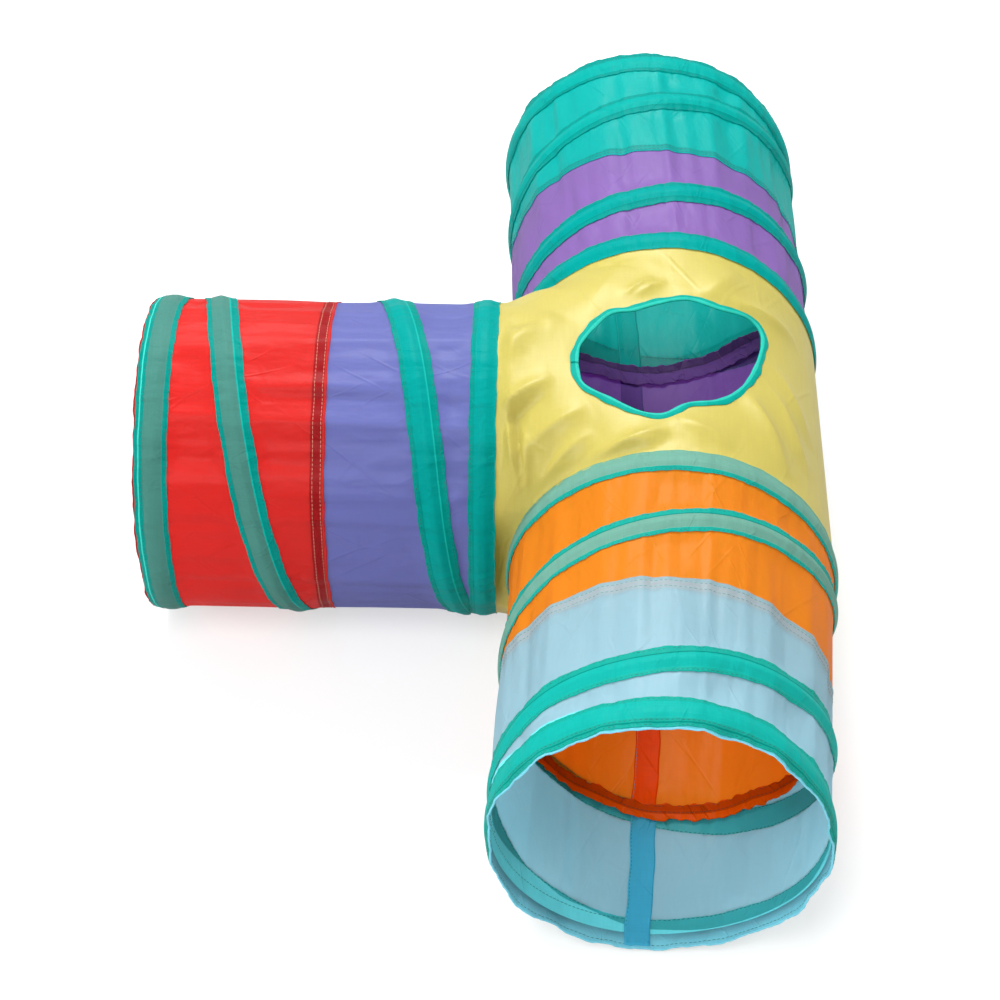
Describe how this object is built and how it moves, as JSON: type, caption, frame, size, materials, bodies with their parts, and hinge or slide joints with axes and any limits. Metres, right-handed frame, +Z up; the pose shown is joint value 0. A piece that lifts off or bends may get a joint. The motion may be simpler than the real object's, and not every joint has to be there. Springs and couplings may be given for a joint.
{
  "type": "cat tunnel",
  "caption": "Collapsible three-way pet play tunnel: sprung cloth arms on a cloth junction with a round peephole on top.",
  "frame": {"origin": "on the floor, under the middle of the whole tunnel's bounding box", "axes": "+Z up; the through arms lie along Y with the front arm toward -Y; the third arm points toward -X"},
  "size_m": [0.5382, 0.7672, 0.2554],
  "materials": {
    "teal_tape": "woven polyester tape with a slight sheen",
    "red_cloth": "thin translucent taffeta",
    "periwinkle_cloth": "thin translucent taffeta",
    "light_blue_cloth": "thin translucent taffeta",
    "orange_cloth": "thin translucent taffeta",
    "turquoise_cloth": "thin translucent taffeta",
    "purple_cloth": "thin translucent taffeta",
    "yellow_cloth": "thin taffeta with soft creases",
    "spring_steel": "drawn spring wire",
    "crimp_steel": "pressed sheet"
  },
  "bodies": {
    "junction": {"junction_body": "yellow_cloth", "peephole_binding": "teal_tape", "left_junction_casing": "teal_tape", "left_junction_crimp": "crimp_steel", "left_inner_panel": "periwinkle_cloth", "left_side_seam_inner": "periwinkle_cloth", "left_spring_wire": "spring_steel", "left_spiral_casing": "teal_tape", "front_junction_casing": "teal_tape", "front_junction_crimp": "crimp_steel", "front_inner_panel": "orange_cloth", "front_side_seam_inner": "orange_cloth", "front_spring_wire": "spring_steel", "front_spiral_casing": "teal_tape", "back_junction_casing": "teal_tape", "back_junction_crimp": "crimp_steel", "back_inner_panel": "purple_cloth", "back_side_seam_inner": "purple_cloth", "back_spring_wire": "spring_steel", "back_spiral_casing": "teal_tape"},
    "left_band": {"left_seam_band": "red_cloth", "left_outer_panel": "red_cloth", "left_side_seam_outer": "red_cloth"},
    "left_mouth": {"left_mouth_casing": "teal_tape", "left_mouth_hem": "red_cloth", "left_mouth_crimp": "crimp_steel"},
    "front_band": {"front_seam_band": "light_blue_cloth", "front_outer_panel": "light_blue_cloth", "front_side_seam_outer": "light_blue_cloth"},
    "front_mouth": {"front_mouth_casing": "teal_tape", "front_mouth_hem": "light_blue_cloth", "front_mouth_crimp": "crimp_steel"},
    "back_band": {"back_seam_band": "purple_cloth", "back_outer_panel": "turquoise_cloth", "back_side_seam_outer": "turquoise_cloth"},
    "back_mouth": {"back_mouth_casing": "teal_tape", "back_mouth_hem": "turquoise_cloth", "back_mouth_crimp": "crimp_steel"}
  },
  "joints": [
    {"name": "left_mouth_slide", "type": "slide", "parent": "junction", "child": "left_mouth", "axis": [1, 0, 0], "range_m": [0, 0.226], "stiffness_N_per_m": 12, "springref_m": -0.05, "deforming": ["left_inner_panel", "left_outer_panel", "left_side_seam_inner", "left_side_seam_outer", "left_spring_wire", "left_spiral_casing"]},
    {"name": "left_band_slide", "type": "slide", "parent": "junction", "child": "left_band", "axis": [1, 0, 0], "range_m": [0, 0.113]},
    {"name": "front_mouth_slide", "type": "slide", "parent": "junction", "child": "front_mouth", "axis": [0, 1, 0], "range_m": [0, 0.216], "stiffness_N_per_m": 12, "springref_m": -0.05, "deforming": ["front_inner_panel", "front_outer_panel", "front_side_seam_inner", "front_side_seam_outer", "front_spring_wire", "front_spiral_casing"]},
    {"name": "front_band_slide", "type": "slide", "parent": "junction", "child": "front_band", "axis": [0, 1, 0], "range_m": [0, 0.108]},
    {"name": "back_mouth_slide", "type": "slide", "parent": "junction", "child": "back_mouth", "axis": [0, -1, 0], "range_m": [0, 0.222], "stiffness_N_per_m": 12, "springref_m": -0.05, "deforming": ["back_inner_panel", "back_outer_panel", "back_side_seam_inner", "back_side_seam_outer", "back_spring_wire", "back_spiral_casing"]},
    {"name": "back_band_slide", "type": "slide", "parent": "junction", "child": "back_band", "axis": [0, -1, 0], "range_m": [0, 0.111]}
  ],
  "couplings": [
    {"joint": "left_band_slide", "follows": "left_mouth_slide", "ratio": 0.5},
    {"joint": "front_band_slide", "follows": "front_mouth_slide", "ratio": 0.5},
    {"joint": "back_band_slide", "follows": "back_mouth_slide", "ratio": 0.5}
  ]
}
